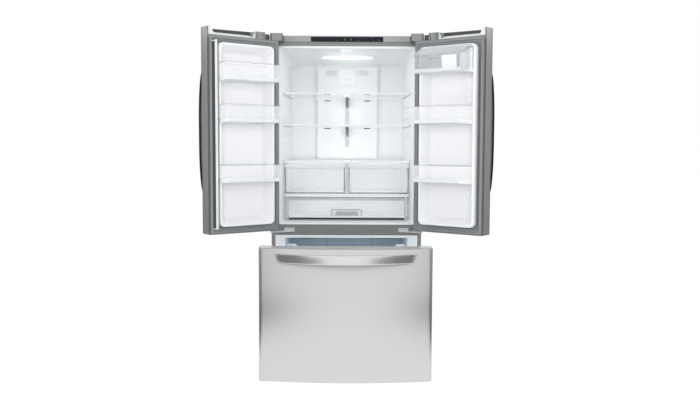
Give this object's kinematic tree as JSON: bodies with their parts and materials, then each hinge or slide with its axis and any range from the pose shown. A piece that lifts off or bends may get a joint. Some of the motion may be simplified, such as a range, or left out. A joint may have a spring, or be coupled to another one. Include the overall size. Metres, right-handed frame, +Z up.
{
  "type": "french door refrigerator",
  "caption": "Stainless French door refrigerator: two bowed doors with bins over a pull-out bottom freezer drawer, shelves and crispers inside.",
  "frame": {"origin": "on the floor, in the middle of the width, in the plane of the cabinet's front face", "axes": "+X to the right seen from the front, +Y to the back, +Z up"},
  "size_m": [1.4148, 1.342, 1.707],
  "materials": {
    "cabinet_paint": "satin",
    "galvanised": "satin",
    "black_plastic": "matte",
    "white_plastic": "semi-gloss",
    "freezer_plastic": "semi-gloss",
    "gray_steel": "satin",
    "silver_plastic": "satin",
    "black_glass": "polished",
    "bright_steel": "bright",
    "gray_plastic": "satin",
    "lamp": "diffuse",
    "shelf_glass": "polished",
    "cover_plastic": "satin",
    "aluminium": "satin",
    "black_paint": "gloss",
    "stainless": "brushed",
    "liner_plastic": "gloss",
    "gasket": "matte",
    "clear_plastic": "polished"
  },
  "bodies": {
    "root": {"case_shell": "cabinet_paint", "back_panel": "galvanised", "machine_cover": "black_plastic", "fridge_liner": "white_plastic", "freezer_liner": "freezer_plastic", "crossbar": "gray_steel", "top_trim": "silver_plastic", "control_panel": "black_glass", "top_hinges": "bright_steel", "hinge_covers": "gray_plastic", "middle_hinges": "bright_steel", "duct_panel": "white_plastic", "filter_cover": "white_plastic", "ceiling_light": "lamp", "shelf_rail": "bright_steel", "shelf_frames": "white_plastic", "shelf_glass": "shelf_glass", "crisper_cover_frame": "white_plastic", "crisper_cover_glass": "shelf_glass", "crisper_support": "white_plastic", "freezer_rails": "galvanised", "evaporator_cover": "cover_plastic", "evaporator": "aluminium", "compressor": "black_paint", "condenser": "black_paint", "base_grille": "gray_plastic", "front_feet": "black_plastic"},
    "left_door": {"left_skin": "stainless", "left_frame": "gray_plastic", "left_cap": "silver_plastic", "left_liner": "liner_plastic", "left_gasket": "gasket", "left_handle": "stainless", "left_upper_bin": "clear_plastic", "left_middle_bin": "clear_plastic", "left_lower_bin": "clear_plastic"},
    "mullion": {"mullion_flap": "gray_plastic"},
    "right_door": {"right_skin": "stainless", "right_frame": "gray_plastic", "right_cap": "silver_plastic", "right_liner": "liner_plastic", "right_gasket": "gasket", "right_handle": "stainless", "right_dairy_bin": "clear_plastic", "right_middle_bin": "clear_plastic", "right_lower_bin": "clear_plastic"},
    "lid": {"dairy_lid": "clear_plastic"},
    "drawer": {"drawer_skin": "stainless", "drawer_panel": "silver_plastic", "drawer_gasket": "gasket", "drawer_handle": "stainless", "drawer_slides": "galvanised", "freezer_basket": "freezer_plastic"},
    "slide_middle": {"slide_members": "galvanised"},
    "left_crisper": {"crisper_left": "clear_plastic"},
    "right_crisper": {"crisper_right": "clear_plastic"},
    "pantry": {"pantry_drawer": "clear_plastic"},
    "evaporator_wheel": {"evaporator_fan": "black_plastic"},
    "condenser_wheel": {"condenser_fan": "black_plastic"},
    "rollers": {"rear_rollers": "black_plastic"}
  },
  "joints": [
    {"name": "left_door", "type": "hinge", "parent": "root", "child": "left_door", "pos_m": [-0.366, -0.056, 1.2], "axis": [0, 0, -1], "range_deg": [-143.2, 0]},
    {"name": "right_door", "type": "hinge", "parent": "root", "child": "right_door", "pos_m": [0.366, -0.056, 1.2], "axis": [0, 0, 1], "range_deg": [-143.2, 0]},
    {"name": "mullion_fold", "type": "hinge", "parent": "left_door", "child": "mullion", "pos_m": [-0.61288, -0.31562, 1.2], "axis": [0, 0, 1], "range_deg": [-90, 0]},
    {"name": "dairy_lid", "type": "hinge", "parent": "right_door", "child": "lid", "pos_m": [0.45662, -0.23369, 1.621], "axis": [-0.8007, 0.599, 0], "range_deg": [0, 80]},
    {"name": "freezer_drawer", "type": "slide", "parent": "root", "child": "drawer", "axis": [0, -1, 0], "range_m": [-0.5, 0.02]},
    {"name": "slide_extension", "type": "slide", "parent": "root", "child": "slide_middle", "axis": [0, -1, 0], "range_m": [-0.25, 0.01]},
    {"name": "left_crisper", "type": "slide", "parent": "root", "child": "left_crisper", "axis": [0, -1, 0], "range_m": [0, 0.3]},
    {"name": "right_crisper", "type": "slide", "parent": "root", "child": "right_crisper", "axis": [0, -1, 0], "range_m": [0, 0.3]},
    {"name": "pantry", "type": "slide", "parent": "root", "child": "pantry", "axis": [0, -1, 0], "range_m": [0, 0.3]},
    {"name": "evaporator_fan", "type": "hinge", "parent": "root", "child": "evaporator_wheel", "pos_m": [0, 0.53, 0.61], "axis": [0, 1, 0], "continuous": true},
    {"name": "condenser_fan", "type": "hinge", "parent": "root", "child": "condenser_wheel", "pos_m": [0.03, 0.548, 0.16], "axis": [1, 0, 0], "continuous": true},
    {"name": "rear_rollers", "type": "hinge", "parent": "root", "child": "rollers", "pos_m": [0, 0.606, 0.02], "axis": [1, 0, 0], "continuous": true}
  ],
  "couplings": [
    {"joint": "mullion_fold", "follows": "left_door", "ratio": 0.6284},
    {"joint": "slide_extension", "follows": "freezer_drawer", "ratio": 0.5}
  ]
}
